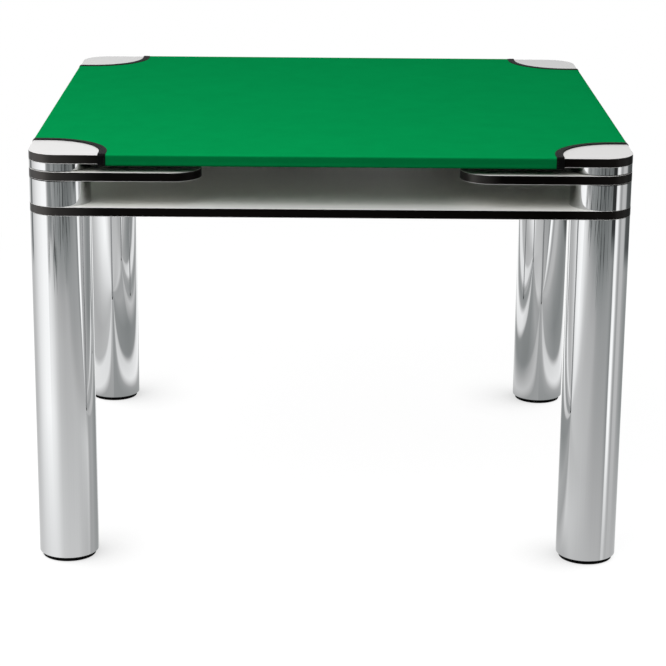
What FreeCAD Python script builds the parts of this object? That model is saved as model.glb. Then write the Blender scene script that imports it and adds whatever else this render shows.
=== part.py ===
import FreeCAD, Part
import math
import os

# Square card and mahjong table: a cloth-covered top, a full-size shelf below it, four chromed tube legs
# and, at each leg, a flat tray that swings out round the leg's axis between two chromed spacers.
# Millimetres. +Z up, X across the front, Y from front to back, origin on the floor under the centre.

# ---- Driving dimensions ----------------------------------------------------------------------------

# boards
table_side = 980.0
playing_height = 700.0
top_thickness = 15.0
shelf_thickness = 15.0
tray_thickness = 15.0
face_thickness = 0.6
face_bevel = 0.3

# legs and the open spaces of the stack above them
leg_diameter = 100.0
leg_wall = 2.0
leg_end_rounding = 1.5
shelf_to_tray = 42.5
tray_to_top = 13.5

# swivel trays
tray_length = 280.0
bush_wall = 3.0
sleeve_diameter = 20.0
running_clearance = 0.05
washer_thickness = 1.0
washer_rim = 5.0
washer_gap = 0.3

# spacers
spacer_wall = 2.0
spacer_disc = 3.5
spacer_bore_clearance = 0.2

# tie stud, leg head and top flange
stud_diameter = 12.0
stud_chamfer = 1.0
stud_hole_clearance = 0.5
stud_end_gap = 1.0
head_thickness = 10.0
head_hub_diameter = 28.0
head_hub_length = 18.0
flange_side_gap = 6.0
flange_plate = 4.0
flange_boss_diameter = 30.0
flange_boss_height = 8.0
flange_screw_edge = 11.0
flange_screws_each = 4
screw_diameter = 4.5
screw_head_diameter = 8.4
screw_head_height = 2.3
screw_tip_cover = 4.5

# feet
foot_radial_step = 5.0
foot_height = 7.5
foot_rounding = 1.0
foot_plug_length = 20.0
foot_plug_wall = 3.0
foot_floor = 3.0
foot_boss_diameter = 18.0
foot_rib_thickness = 2.4
foot_ribs = 6
base_plate_thickness = 4.0
foot_screw_diameter = 8.0
foot_screw_head_diameter = 13.0
foot_screw_head_height = 3.2
foot_screw_head_clearance = 0.6
foot_screw_recess = 0.8

# cloth cover
cloth_thickness = 1.0
cloth_clearance = 0.2
cloth_edge_rounding = 1.0
hem_width = 60.0
elastic_width = 18.0
elastic_thickness = 0.6
elastic_clearance = 0.05
cutout_size = 116.0
cutout_radius = 94.0
binding_width = 13.0
binding_turn = 4.0
binding_rise = 0.8
binding_press = 0.3
binding_clearance = 0.1

# ---- Places worked out from them -------------------------------------------------------------------

up = FreeCAD.Vector(0, 0, 1)
half_side = table_side / 2
leg_radius = leg_diameter / 2
leg_offset = half_side - leg_radius
tray_width = leg_diameter
tray_reach = tray_length - tray_width

top_bottom = playing_height - top_thickness
tray_top = top_bottom - tray_to_top
tray_bottom = tray_top - tray_thickness
shelf_top = tray_bottom - shelf_to_tray
shelf_bottom = shelf_top - shelf_thickness

tube_inner_radius = leg_radius - leg_wall
sleeve_radius = sleeve_diameter / 2
stud_radius = stud_diameter / 2
stud_hole_radius = stud_radius + stud_hole_clearance
bush_inner_radius = sleeve_radius + running_clearance
bush_outer_radius = bush_inner_radius + bush_wall
sleeve_top = top_bottom - flange_boss_height
lower_spacer_top = tray_bottom - washer_gap - washer_thickness
upper_spacer_bottom = tray_top + washer_gap + washer_thickness
washer_radius = leg_radius - washer_rim
spacer_bore_radius = sleeve_radius + spacer_bore_clearance
spacer_inner_radius = leg_radius - spacer_wall
flange_radius = spacer_inner_radius - flange_side_gap
flange_screw_radius = flange_radius - flange_screw_edge
screw_top = playing_height - screw_tip_cover
foot_pad_radius = leg_radius - foot_radial_step

cloth_side_out = cloth_clearance + cloth_thickness
hem_thickness = 2 * cloth_thickness + elastic_thickness + 2 * elastic_clearance
cloth_bottom_out = cloth_clearance + hem_thickness
binding_lift = binding_clearance - binding_press

# Each corner: its name and the side of X and Y that it stands on.
CORNERS = [
    ("front_left", -1, -1),
    ("front_right", 1, -1),
    ("back_left", -1, 1),
    ("back_right", 1, 1),
]


# ---- Small helpers -----------------------------------------------------------------------------------

def point(x, y, z=0.0):
    return FreeCAD.Vector(x, y, z)


def cylinder(radius, bottom, top, x=0.0, y=0.0):
    return Part.makeCylinder(radius, top - bottom, point(x, y, bottom), up)


def ring(outer_radius, inner_radius, bottom, top, x=0.0, y=0.0):
    return cylinder(outer_radius, bottom, top, x, y).cut(cylinder(inner_radius, bottom, top, x, y))


def square_block(half, bottom, top):
    return Part.makeBox(2 * half, 2 * half, top - bottom, point(-half, -half, bottom))


def arc(start, middle, end):
    return Part.Arc(start, middle, end).toShape()


def line(start, end):
    return Part.makeLine(start, end)


def prism(edges, bottom, top):
    """A vertical block over a closed outline drawn at height zero."""
    face = Part.Face(Part.Wire(Part.__sortEdges__(edges)))
    face.translate(point(0, 0, bottom))
    return face.extrude(point(0, 0, top - bottom))


def edges_at_height(shape, height):
    """The edges of a block that lie flat at one height."""
    found = []
    for edge in shape.Edges:
        box = edge.BoundBox
        if abs(box.ZMin - height) < 1e-4 and abs(box.ZMax - height) < 1e-4:
            found.append(edge)
    return found


def at_corners(make):
    """The same small pieces at all four legs, as separate solids of one group."""
    solids = []
    for name, side_x, side_y in CORNERS:
        solids.extend(make(side_x * leg_offset, side_y * leg_offset))
    return Part.makeCompound(solids)


def save(node, shape):
    shape.exportStep("parts/" + node + ".step")


# ---- Boards: a black core between two thin white faces -------------------------------------------------

def board_block(bottom, top):
    block = square_block(half_side, bottom, top)
    uprights = [e for e in block.Edges if e.BoundBox.ZLength > (top - bottom) / 2]
    return block.makeFillet(leg_radius, uprights)


def tray_block(bottom, top, corner_x, corner_y, inward):
    """A flat bar with round ends: one end round the leg's axis, the other towards the table's middle."""
    far_x = corner_x + inward * tray_reach
    half_width = tray_width / 2
    near_tip = corner_x - inward * half_width
    far_tip = far_x + inward * half_width
    low_y = corner_y - half_width
    high_y = corner_y + half_width
    outline = [
        line(point(corner_x, low_y), point(far_x, low_y)),
        arc(point(far_x, low_y), point(far_tip, corner_y), point(far_x, high_y)),
        line(point(far_x, high_y), point(corner_x, high_y)),
        arc(point(corner_x, high_y), point(near_tip, corner_y), point(corner_x, low_y)),
    ]
    return prism(outline, bottom, top)


def layered(block, bottom, top):
    """Underside face, core and upper face of a board, with the outer edges of the faces bevelled."""
    underside = block(bottom, bottom + face_thickness)
    underside = underside.makeChamfer(face_bevel, edges_at_height(underside, bottom))
    core = block(bottom + face_thickness, top - face_thickness)
    face = block(top - face_thickness, top)
    face = face.makeChamfer(face_bevel, edges_at_height(face, top))
    return underside, core, face


def drilled(shape, radius, bottom, top):
    """The shape with an upright hole at each leg's axis."""
    for name, side_x, side_y in CORNERS:
        shape = shape.cut(cylinder(radius, bottom, top, side_x * leg_offset, side_y * leg_offset))
    return shape


def screw_places(x, y):
    places = []
    for index in range(flange_screws_each):
        angle = math.radians(45 + index * 360 / flange_screws_each)
        along_x = flange_screw_radius * math.cos(angle)
        along_y = flange_screw_radius * math.sin(angle)
        places.append((x + along_x, y + along_y))
    return places


def build_top():
    underside, core, face = layered(board_block, top_bottom, playing_height)
    for name, side_x, side_y in CORNERS:
        for x, y in screw_places(side_x * leg_offset, side_y * leg_offset):
            pilot = cylinder(screw_diameter / 2, top_bottom, screw_top, x, y)
            underside = underside.cut(pilot)
            core = core.cut(pilot)
    save("top_underside_face", underside)
    save("top_core", core)
    save("top_face", face)


def build_shelf():
    layers = layered(board_block, shelf_bottom, shelf_top)
    names = ["shelf_underside_face", "shelf_core", "shelf_face"]
    for name, layer in zip(names, layers):
        save(name, drilled(layer, stud_hole_radius, shelf_bottom, shelf_top))


# ---- Cloth cover -----------------------------------------------------------------------------------------

def corner_region(grow, side_x, side_y):
    """An upright block over a corner's quarter-round cut-out, grown outwards by a distance."""
    size = cutout_size + grow
    radius = cutout_radius + grow
    straight = size - radius
    outside = -cloth_side_out - binding_rise - binding_width
    middle = straight + radius * math.sqrt(0.5)

    def place(along_x, along_y):
        return point(side_x * (half_side - along_x), side_y * (half_side - along_y))

    outline = [
        line(place(outside, outside), place(size, outside)),
        line(place(size, outside), place(size, straight)),
        arc(place(size, straight), place(middle, middle), place(straight, size)),
        line(place(straight, size), place(outside, size)),
        line(place(outside, size), place(outside, outside)),
    ]
    margin = 2 * (cloth_bottom_out + binding_rise)
    return prism(outline, top_bottom - margin, playing_height + margin)


def wrapped_sheet(side_out, bottom_out, rounding):
    """A sheet over the top board, round its edges and back under it as far as the hem reaches."""
    sheet_bottom = top_bottom - bottom_out
    sheet_top = playing_height + side_out
    outer = square_block(half_side + side_out, sheet_bottom, sheet_top)
    rims = edges_at_height(outer, sheet_top) + edges_at_height(outer, sheet_bottom)
    outer = outer.makeFillet(rounding, rims)
    board_space = square_block(
        half_side + cloth_clearance, top_bottom - cloth_clearance, playing_height + cloth_clearance)
    open_middle = square_block(half_side - hem_width, sheet_bottom, top_bottom)
    return outer.cut(board_space).cut(open_middle)


def elastic_strips(extra):
    """Four flat strips inside the hem, one along each side, grown on every face by extra."""
    half_length = half_side - cutout_size - binding_turn
    inner_y = half_side - hem_width / 2 - elastic_width / 2 - extra
    bottom = top_bottom - cloth_clearance - cloth_thickness - elastic_clearance - elastic_thickness - extra
    strip = Part.makeBox(
        2 * (half_length + extra), elastic_width + 2 * extra, elastic_thickness + 2 * extra,
        point(-half_length - extra, inner_y, bottom))
    strips = []
    for quarter in range(4):
        turned = strip.copy()
        turned.rotate(point(0, 0), up, 90 * quarter)
        strips.append(turned)
    return strips


def cloth_block(lift):
    """The whole space inside the cloth's outer faces, grown by a lift."""
    return square_block(
        half_side + cloth_side_out + lift, top_bottom - cloth_bottom_out - lift,
        playing_height + cloth_side_out + lift)


def build_cover():
    """The cloth ends under the bindings, which press it in where they lie on it."""
    cloth = wrapped_sheet(cloth_side_out, cloth_bottom_out, cloth_edge_rounding)
    pressed_block = cloth_block(-binding_press)
    for name, side_x, side_y in CORNERS:
        under_binding = corner_region(binding_width + binding_clearance, side_x, side_y)
        cloth = cloth.cut(under_binding.cut(pressed_block))
        cloth = cloth.cut(corner_region(binding_turn + binding_clearance, side_x, side_y))
    for pocket in elastic_strips(elastic_clearance):
        cloth = cloth.cut(pocket)
    save("cloth_cover", cloth)
    save("hem_elastic", Part.makeCompound(elastic_strips(0.0)))


def build_bindings():
    """Strips folded over the cut-out's edge: full thickness past the cloth's edge, a thin lip over it."""
    thick = wrapped_sheet(
        cloth_side_out + binding_rise, cloth_bottom_out + binding_rise, cloth_edge_rounding)
    cloth_slot = cloth_block(binding_lift)
    for name, side_x, side_y in CORNERS:
        opening = corner_region(0.0, side_x, side_y)
        binding = thick.common(corner_region(binding_width, side_x, side_y)).cut(opening)
        slot = cloth_slot.cut(corner_region(binding_turn, side_x, side_y))
        save(name + "_corner_binding", binding.cut(slot))


# ---- Legs --------------------------------------------------------------------------------------------------

def build_leg(name, x, y):
    tube = cylinder(leg_radius, foot_height, shelf_bottom, x, y)
    tube = tube.makeFillet(leg_end_rounding, edges_at_height(tube, foot_height))
    tube = tube.cut(cylinder(tube_inner_radius, foot_height, shelf_bottom, x, y))
    save(name + "_leg_tube", tube)

    head = cylinder(tube_inner_radius, shelf_bottom - head_thickness, shelf_bottom, x, y)
    hub_bottom = shelf_bottom - head_thickness - head_hub_length
    head = head.fuse(cylinder(head_hub_diameter / 2, hub_bottom, shelf_bottom, x, y))
    head = head.cut(cylinder(stud_radius, hub_bottom, shelf_bottom, x, y)).removeSplitter()
    save(name + "_leg_head", head)

    save(name + "_foot", foot(x, y))


def foot(x, y):
    """A moulded plug: a rounded pad below the tube and a ribbed cup inside it."""
    plug_top = foot_height + foot_plug_length
    pad = cylinder(foot_pad_radius, 0, foot_height, x, y)
    pad = pad.makeFillet(foot_rounding, edges_at_height(pad, 0))
    cup = ring(tube_inner_radius, tube_inner_radius - foot_plug_wall, foot_height, plug_top, x, y)
    floor = cylinder(tube_inner_radius, foot_height, foot_height + foot_floor, x, y)
    boss = cylinder(foot_boss_diameter / 2, foot_height, plug_top, x, y)
    body = pad.fuse([cup, floor, boss])
    rib_length = tube_inner_radius - foot_plug_wall / 2
    for index in range(foot_ribs):
        rib = Part.makeBox(
            rib_length, foot_rib_thickness, foot_plug_length,
            point(x, y - foot_rib_thickness / 2, foot_height))
        rib.rotate(point(x, y), up, index * 360 / foot_ribs)
        body = body.fuse(rib)
    body = body.cut(cylinder(foot_screw_diameter / 2, 0, plug_top, x, y))
    head_room = foot_screw_head_diameter / 2 + foot_screw_head_clearance
    recess_top = foot_screw_recess + foot_screw_head_height
    return body.cut(cylinder(head_room, 0, recess_top, x, y)).removeSplitter()


def foot_screw(x, y):
    recess_top = foot_screw_recess + foot_screw_head_height
    plate_top = foot_height + foot_plug_length + base_plate_thickness
    head = cylinder(foot_screw_head_diameter / 2, foot_screw_recess, recess_top, x, y)
    return [head.fuse(cylinder(foot_screw_diameter / 2, recess_top, plate_top, x, y))]


def base_plate(x, y):
    plate_bottom = foot_height + foot_plug_length
    plate_top = plate_bottom + base_plate_thickness
    return [ring(tube_inner_radius, foot_screw_diameter / 2, plate_bottom, plate_top, x, y)]


# ---- The stack above each leg --------------------------------------------------------------------------------

def build_spacers(name, x, y):
    disc_radius = leg_radius - spacer_wall / 2

    lower = ring(leg_radius, spacer_inner_radius, shelf_top, lower_spacer_top, x, y)
    low_disc = cylinder(disc_radius, shelf_top, shelf_top + spacer_disc, x, y)
    high_disc = cylinder(disc_radius, lower_spacer_top - spacer_disc, lower_spacer_top, x, y)
    lower = lower.fuse([low_disc, high_disc])
    lower = lower.cut(cylinder(spacer_bore_radius, shelf_top, lower_spacer_top, x, y)).removeSplitter()
    save(name + "_lower_spacer", lower)

    upper = ring(leg_radius, spacer_inner_radius, upper_spacer_bottom, top_bottom, x, y)
    upper = upper.fuse(
        cylinder(disc_radius, upper_spacer_bottom, upper_spacer_bottom + spacer_disc, x, y))
    upper = upper.cut(cylinder(spacer_bore_radius, upper_spacer_bottom, top_bottom, x, y))
    save(name + "_upper_spacer", upper.removeSplitter())

    save(name + "_pivot_sleeve", ring(sleeve_radius, stud_hole_radius, shelf_top, sleeve_top, x, y))


def tie_stud(x, y):
    bottom = shelf_bottom - head_thickness - head_hub_length
    rod = cylinder(stud_radius, bottom, top_bottom - stud_end_gap, x, y)
    ends = edges_at_height(rod, bottom) + edges_at_height(rod, top_bottom - stud_end_gap)
    return [rod.makeChamfer(stud_chamfer, ends)]


def screw_head(x, y):
    """A countersunk head, flush with the flange's lower side."""
    plate_bottom = top_bottom - flange_plate
    return Part.makeCone(
        screw_head_diameter / 2, screw_diameter / 2, screw_head_height, point(x, y, plate_bottom), up)


def top_flange(x, y):
    flange = cylinder(flange_radius, top_bottom - flange_plate, top_bottom, x, y)
    flange = flange.fuse(cylinder(flange_boss_diameter / 2, sleeve_top, top_bottom, x, y))
    flange = flange.cut(cylinder(stud_radius, sleeve_top, top_bottom, x, y))
    for screw_x, screw_y in screw_places(x, y):
        flange = flange.cut(cylinder(screw_diameter / 2, sleeve_top, top_bottom, screw_x, screw_y))
        flange = flange.cut(screw_head(screw_x, screw_y))
    return [flange.removeSplitter()]


def flange_screws(x, y):
    screws = []
    for screw_x, screw_y in screw_places(x, y):
        shank = cylinder(screw_diameter / 2, top_bottom - flange_plate, screw_top, screw_x, screw_y)
        screws.append(shank.fuse(screw_head(screw_x, screw_y)).removeSplitter())
    return screws


def thrust_washers(x, y):
    under_tray = ring(
        washer_radius, spacer_bore_radius, lower_spacer_top, lower_spacer_top + washer_thickness, x, y)
    over_tray = ring(
        washer_radius, spacer_bore_radius, upper_spacer_bottom - washer_thickness, upper_spacer_bottom,
        x, y)
    return [under_tray, over_tray]


# ---- Swivel trays ----------------------------------------------------------------------------------------------

def build_tray(name, x, y):
    inward = -1 if x > 0 else 1

    def block(bottom, top):
        return tray_block(bottom, top, x, y, inward)

    bore = cylinder(bush_outer_radius, tray_bottom, tray_top, x, y)
    names = ["_tray_underside_face", "_tray_core", "_tray_face"]
    for suffix, layer in zip(names, layered(block, tray_bottom, tray_top)):
        save(name + suffix, layer.cut(bore))
    save(name + "_tray_bush", ring(bush_outer_radius, bush_inner_radius, tray_bottom, tray_top, x, y))


# ---- Build --------------------------------------------------------------------------------------------------------

def main():
    os.makedirs("parts", exist_ok=True)
    build_top()
    build_shelf()
    build_cover()
    build_bindings()
    for name, side_x, side_y in CORNERS:
        x = side_x * leg_offset
        y = side_y * leg_offset
        build_leg(name, x, y)
        build_spacers(name, x, y)
        build_tray(name, x, y)
    save("tie_studs", at_corners(tie_stud))
    save("top_flanges", at_corners(top_flange))
    save("flange_screws", at_corners(flange_screws))
    save("thrust_washers", at_corners(thrust_washers))
    save("leg_base_plates", at_corners(base_plate))
    save("foot_screws", at_corners(foot_screw))


main()
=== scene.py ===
from functools import partial, partialmethod
import math

import bmesh
import bpy
from bpy.props import FloatProperty, FloatVectorProperty, PointerProperty
from mathutils import Matrix, Vector, noise
from mathutils.geometry import delaunay_2d_cdt


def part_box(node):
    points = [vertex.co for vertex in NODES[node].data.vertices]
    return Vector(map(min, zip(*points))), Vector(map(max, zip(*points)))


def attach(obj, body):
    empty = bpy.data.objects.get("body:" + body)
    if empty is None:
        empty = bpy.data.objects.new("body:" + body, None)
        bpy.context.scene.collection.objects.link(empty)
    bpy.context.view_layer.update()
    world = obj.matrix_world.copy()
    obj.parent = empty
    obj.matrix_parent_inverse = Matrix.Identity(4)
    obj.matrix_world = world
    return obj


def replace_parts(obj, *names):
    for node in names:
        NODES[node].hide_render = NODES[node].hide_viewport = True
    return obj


bl_info = {
    "name": "Card table with swivel trays",
    "version": (1, 0, 0),
    "blender": (4, 5, 0),
    "location": "3D View > Sidebar > Card Table",
    "description": "Sews the baize cover and finishes the boards, legs and trays of a square card table",
    "category": "Object",
}

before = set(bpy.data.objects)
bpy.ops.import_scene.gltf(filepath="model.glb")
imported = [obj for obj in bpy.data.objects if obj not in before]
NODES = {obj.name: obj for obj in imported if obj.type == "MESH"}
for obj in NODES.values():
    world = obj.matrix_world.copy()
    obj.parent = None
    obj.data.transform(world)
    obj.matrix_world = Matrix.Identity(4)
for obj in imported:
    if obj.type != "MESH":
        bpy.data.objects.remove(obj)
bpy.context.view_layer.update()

# Metres throughout. The board's own faces carry the cover, so its places come from them.
MM = 0.001
BOARD_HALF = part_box("top_core")[1].x
BOARD_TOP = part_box("top_face")[1].z
BOARD_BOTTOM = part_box("top_underside_face")[0].z
COVER_LOW, COVER_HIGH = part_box("cloth_cover")
CLOTH_OUT = COVER_HIGH.x - BOARD_HALF
CLOTH_TOP = BOARD_TOP + CLOTH_OUT
CLOTH_BOTTOM = COVER_LOW.z
CLOTH_ROOM = 0.2 * MM
BINDING_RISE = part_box("front_left_corner_binding")[1].z - COVER_HIGH.z
SHARP_FOLD = math.radians(50)

CORNERS = {"front_left": (-1, -1), "front_right": (1, -1), "back_left": (-1, 1), "back_right": (1, 1)}


# ---- Sizes and colours that a maker would change ----

def number(name, description, default, **kind):
    return FloatProperty(name=name, description=description, default=default, **kind)


def length(name, description, default):
    return number(name, description, default, min=0.0, precision=4, unit="LENGTH")


def angle(name, description, degrees):
    return number(name, description, math.radians(degrees), subtype="ANGLE")


def colour(name, description, default):
    return FloatVectorProperty(
        name=name, description=description, default=default, subtype="COLOR", size=3, min=0.0, max=1.0)


class CoverSizes(bpy.types.PropertyGroup):
    cloth_thickness: length("Cloth thickness", "Thickness of the baize", 1.0 * MM)
    edge_rounding: length("Edge rounding", "Outer radius of the cloth where it turns over an edge", 3.4 * MM)
    hem_width: length("Hem width", "How far the hem reaches back under the board", 60 * MM)
    hem_overlap: length("Turned-in hem", "Width of the layer that is folded back inside the hem", 55.4 * MM)
    cutout_size: length("Cut-out size", "Side of the opening at each corner", 116 * MM)
    cutout_radius: length("Cut-out radius", "Radius of the opening's round side", 94 * MM)
    hem_flare: length("Hem flare", "How far the full hem stands out at the foot of the side", 0.75 * MM)
    mesh_step: length("Mesh step", "Distance between points on the cloth", 14 * MM)
    slack: length("Slack", "Depth of the soft hollows in the stretched cloth", 0.22 * MM)


class BindingSizes(bpy.types.PropertyGroup):
    width: length("Width", "Width of the folded strip that shows", 13 * MM)
    turn: length("Turn", "Width of the fold past the cloth's edge", 4 * MM)
    pucker: length("Pucker", "Depth of the small gathers on the curve", 0.1 * MM)
    stitch_inset: length("Stitch inset", "Distance of the seam from the strip's outer edge", 2.4 * MM)
    stitch_pitch: length("Stitch pitch", "Distance between stitches", 3.8 * MM)
    stitch_length: length("Stitch length", "Length of one stitch", 2.7 * MM)
    thread: length("Thread", "Diameter of the sewing thread", 0.5 * MM)


class Finishes(bpy.types.PropertyGroup):
    baize: colour("Baize", "Colour of the cloth", (0.0012, 0.305, 0.079))
    laminate: colour("Laminate", "Colour of the board faces", (0.87, 0.86, 0.855))
    # painted shade: the tint that the faces are given where they are closed in, deep in the shelf
    shade_tinted_laminate: colour("Shaded faces", "Colour of the board faces deep in the shelf", (0.88, 0.886, 0.835))
    core: colour("Board edge", "Colour of the solid core that shows at the edges", (0.0022, 0.0017, 0.0015))
    leather: colour("Binding", "Colour of the corner bindings", (0.0016, 0.0016, 0.0017))
    nylon: colour("Nylon", "Colour of the feet and bushes", (0.001, 0.001, 0.0011))
    chrome: colour("Chrome", "Tint of the plated legs and spacers", (0.55, 0.555, 0.56))
    steel: colour("Steel", "Tint of the zinc-plated fixings", (0.46, 0.46, 0.45))
    elastic: colour("Elastic", "Colour of the elastic in the hem", (0.62, 0.61, 0.58))


class StudioSettings(bpy.types.PropertyGroup):
    lens: number("Lens", "Focal length on a 36 mm sensor", 120.15, subtype="DISTANCE_CAMERA")
    yaw: angle("Yaw", "Camera's turn to the right", 0.462)
    pitch: angle("Pitch", "Camera's tilt down", 16.253)
    roll: angle("Roll", "Camera's roll", -0.534)
    lamp_power: number("Lamp power", "Power of the overhead softbox", 97.0, min=0.0, unit="POWER")
    fill: number("Fill", "Strength of the soft light from the ceiling", 0.54, min=0.0)


# ---- Node helpers ----

class Value:
    """What a node gives: a number, colour or direction. Sums with it add maths nodes to its tree."""

    def __init__(self, tree, socket):
        self.tree = tree
        self.socket = socket

    @property
    def outputs(self):
        """All that the same node gives, by name."""
        return {socket.name: Value(self.tree, socket) for socket in self.socket.node.outputs}

    def calc(self, operation, second=0.0, third=0.0, clamp=False):
        return add(self.tree, "Math", {0: self, 1: second, 2: third}, operation=operation, use_clamp=clamp)

    def from_plain(self, plain, operation):
        return add(self.tree, "Math", {0: plain, 1: self, 2: 0.0}, operation=operation)

    __add__ = partialmethod(calc, "ADD")
    __sub__ = partialmethod(calc, "SUBTRACT")
    __mul__ = partialmethod(calc, "MULTIPLY")
    __abs__ = partialmethod(calc, "ABSOLUTE")
    most = partialmethod(calc, "MAXIMUM")
    least = partialmethod(calc, "MINIMUM")
    __rsub__ = partialmethod(from_plain, operation="SUBTRACT")
    __rtruediv__ = partialmethod(from_plain, operation="DIVIDE")

    def remap(self, low, high, to_low=0.0, to_high=1.0, smooth=False):
        return add(
            self.tree, "MapRange",
            {"Value": self, "From Min": low, "From Max": high, "To Min": to_low, "To Max": to_high},
            interpolation_type="SMOOTHSTEP" if smooth else "LINEAR")

    eased = partialmethod(remap, smooth=True)


def feed(tree, socket, value):
    if isinstance(value, Value):
        tree.links.new(value.socket, socket)
    else:
        socket.default_value = value


def add(tree, kind, inputs=None, output=0, **settings):
    """What a new shader node gives, with its inputs linked or set by name or number."""
    node = tree.nodes.new("ShaderNode" + kind)
    for name, value in settings.items():
        setattr(node, name, value)
    for name, value in (inputs or {}).items():
        feed(tree, node.inputs[name], value)
    return Value(tree, node.outputs[output])


def vector_calc(tree, operation, first, second=(0.0, 0.0, 0.0), output=0):
    return add(tree, "VectorMath", {0: first, 1: second}, output, operation=operation)


def mix(factor, first, second):
    return add(factor.tree, "Mix", {0: factor, 2: first, 3: second}, data_type="FLOAT")


def mix_colours(factor, first, second):
    return add(factor.tree, "Mix", {0: factor, 6: first, 7: second}, 2, data_type="RGBA")


def tint(rgb, factor):
    """A plain colour made lighter or darker by a value that changes over the surface."""
    return add(factor.tree, "VectorMath", {0: rgb, "Scale": factor}, operation="SCALE")


def axes(vector):
    return add(vector.tree, "SeparateXYZ", {0: vector}).outputs


def joined(tree, x, y, z):
    return add(tree, "CombineXYZ", {"X": x, "Y": y, "Z": z})


def stretched(vector, scale, turn=0.0):
    """Coordinates divided by a grain size along each axis, after a turn about the upright axis."""
    return add(
        vector.tree, "Mapping", {"Vector": vector, "Rotation": (0, 0, turn), "Scale": scale}, vector_type="POINT")


def noise_value(vector, scale, detail=2.0, roughness=0.5, distortion=0.0):
    return add(
        vector.tree, "TexNoise",
        {"Vector": vector, "Scale": scale, "Detail": detail, "Roughness": roughness, "Distortion": distortion})


def place(tree):
    return add(tree, "TexCoord", output="Object")


def bumped(height, depth, strength=1.0, **normal):
    return add(height.tree, "Bump", {"Height": height, "Distance": depth, "Strength": strength, **normal})


# ---- Shared effects ----

def fibre_nap(tree, given):
    """Short crossing fibres with soft clouds: a shade that centres on one, and a height."""
    where = place(tree)
    per_fibre = 1.0 / given["Fibre Size"]
    fibres = [
        noise_value(stretched(where, (1.0, 0.22, 1.0), turn), per_fibre, 2.0, 0.6, 0.4)
        for turn in (0.5, -0.7, 2.0)]
    longest = fibres[0].most(fibres[1]).most(fibres[2])
    fine = noise_value(where, per_fibre * 1.7, 3.0, 0.7)
    clouds = noise_value(where, 1.0 / given["Cloud Size"], 4.0, 0.55)
    height = longest.calc("MULTIPLY_ADD", 0.6, fine * 0.4)
    spread = (height - 0.54) + (clouds - 0.5)
    return {"Shade": spread.calc("MULTIPLY_ADD", given["Contrast"], 1.0), "Height": height}


def pebble_grain(tree, given):
    """Small rounded cells with dark creases between them, as on leather or moulded nylon."""
    where = place(tree)
    per_grain = 1.0 / given["Grain Size"]
    wander = add(tree, "TexNoise", {"Vector": where, "Scale": per_grain * 0.5, "Detail": 2.0}, "Color")
    shift = tint(wander, given["Grain Size"] * given["Unevenness"])
    cells = add(
        tree, "TexVoronoi", {"Vector": vector_calc(tree, "ADD", shift, where), "Scale": per_grain}, "Distance",
        feature="DISTANCE_TO_EDGE")
    crease = cells.remap(0.0, 0.16, 1.0, 0.0)
    fine = noise_value(where, per_grain * 3.0, 2.0, 0.6)
    return {"Crease": crease, "Height": crease.calc("MULTIPLY_ADD", -0.8, fine * 0.3)}


def handling_marks(tree, given):
    """Faint wiped patches and finger smears, from zero for clean to one for smeared."""
    where = place(tree)
    per_patch = 1.0 / given["Patch Size"]
    patches = noise_value(where, per_patch, 5.0, 0.62, 0.6)
    wiped = noise_value(stretched(where, (1.0, 1.0, 0.25), 0.4), per_patch * 6.0, 3.0, 0.6)
    smear = patches.eased(0.42, 0.72) * wiped.remap(0.3, 0.7)
    return {"Mask": smear.calc("MULTIPLY", given["Amount"], clamp=True)}


def edge_wear(tree, given):
    """A broken line along sharp edges, from how far a rounded normal leaves the true one."""
    rounded = add(tree, "Bevel", {"Radius": given["Reach"]}, samples=6)
    true_normal = add(tree, "NewGeometry", output="Normal")
    alike = vector_calc(tree, "DOT_PRODUCT", rounded, true_normal, "Value")
    breaks = noise_value(place(tree), 1.0 / given["Breaks"], 4.0, 0.65)
    worn = alike.eased(0.995, 0.86) * breaks.remap(0.42, 0.62)
    return {"Mask": worn.calc("MULTIPLY", given["Amount"], clamp=True)}


def drawn_lines(tree, given):
    """Fine upright polishing lines, as on a drawn tube."""
    across = 1.0 / given["Spacing"]
    scale = joined(tree, across, across, 1.0 / given["Run"])
    return {"Height": noise_value(vector_calc(tree, "MULTIPLY", place(tree), scale), 1.0, 3.0, 0.6)}


EFFECTS = {
    "fibre_nap": (fibre_nap, {"Fibre Size": 0.0012, "Cloud Size": 0.06, "Contrast": 0.1}),
    "pebble_grain": (pebble_grain, {"Grain Size": 0.001, "Unevenness": 0.5}),
    "handling_marks": (handling_marks, {"Patch Size": 0.06, "Amount": 0.5}),
    "edge_wear": (edge_wear, {"Reach": 0.0008, "Breaks": 0.01, "Amount": 0.5}),
    "drawn_lines": (drawn_lines, {"Spacing": 0.0006, "Run": 0.25}),
}


def built_effect(name):
    """The effect's node group, with a socket for each thing that it is given and gives."""
    build, inputs = EFFECTS[name]
    tree = bpy.data.node_groups.new(name, "ShaderNodeTree")
    for label, default in inputs.items():
        socket = tree.interface.new_socket(label, in_out="INPUT", socket_type="NodeSocketFloat")
        socket.default_value = default
    given = tree.nodes.new("NodeGroupInput")
    results = build(tree, Value(tree, given.outputs[0]).outputs)
    for label in results:
        tree.interface.new_socket(label, in_out="OUTPUT", socket_type="NodeSocketFloat")
    out = tree.nodes.new("NodeGroupOutput")
    for label, value in results.items():
        feed(tree, out.inputs[label], value)
    return tree


def effect(tree, name, **values):
    """Places a shared effect in a material with its own values. Builds it the first time."""
    group = bpy.data.node_groups.get(name) or built_effect(name)
    inputs = {label.replace("_", " "): value for label, value in values.items()}
    return add(tree, "Group", inputs, node_tree=group).outputs


def marks_mask(tree, size, amount):
    return effect(tree, "handling_marks", Patch_Size=size, Amount=amount)["Mask"]


def wear_mask(tree, reach, breaks, amount):
    return effect(tree, "edge_wear", Reach=reach, Breaks=breaks, Amount=amount)["Mask"]


# ---- Materials: each gives its Principled shader's inputs ----

SPECULAR = "Specular IOR Level"
# The round end of the right front tray reflects more, as a painted highlight: its middle, and how much.
TRAY_END_X = 0.225
TRAY_END_HIGHLIGHT = 0.4


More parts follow.
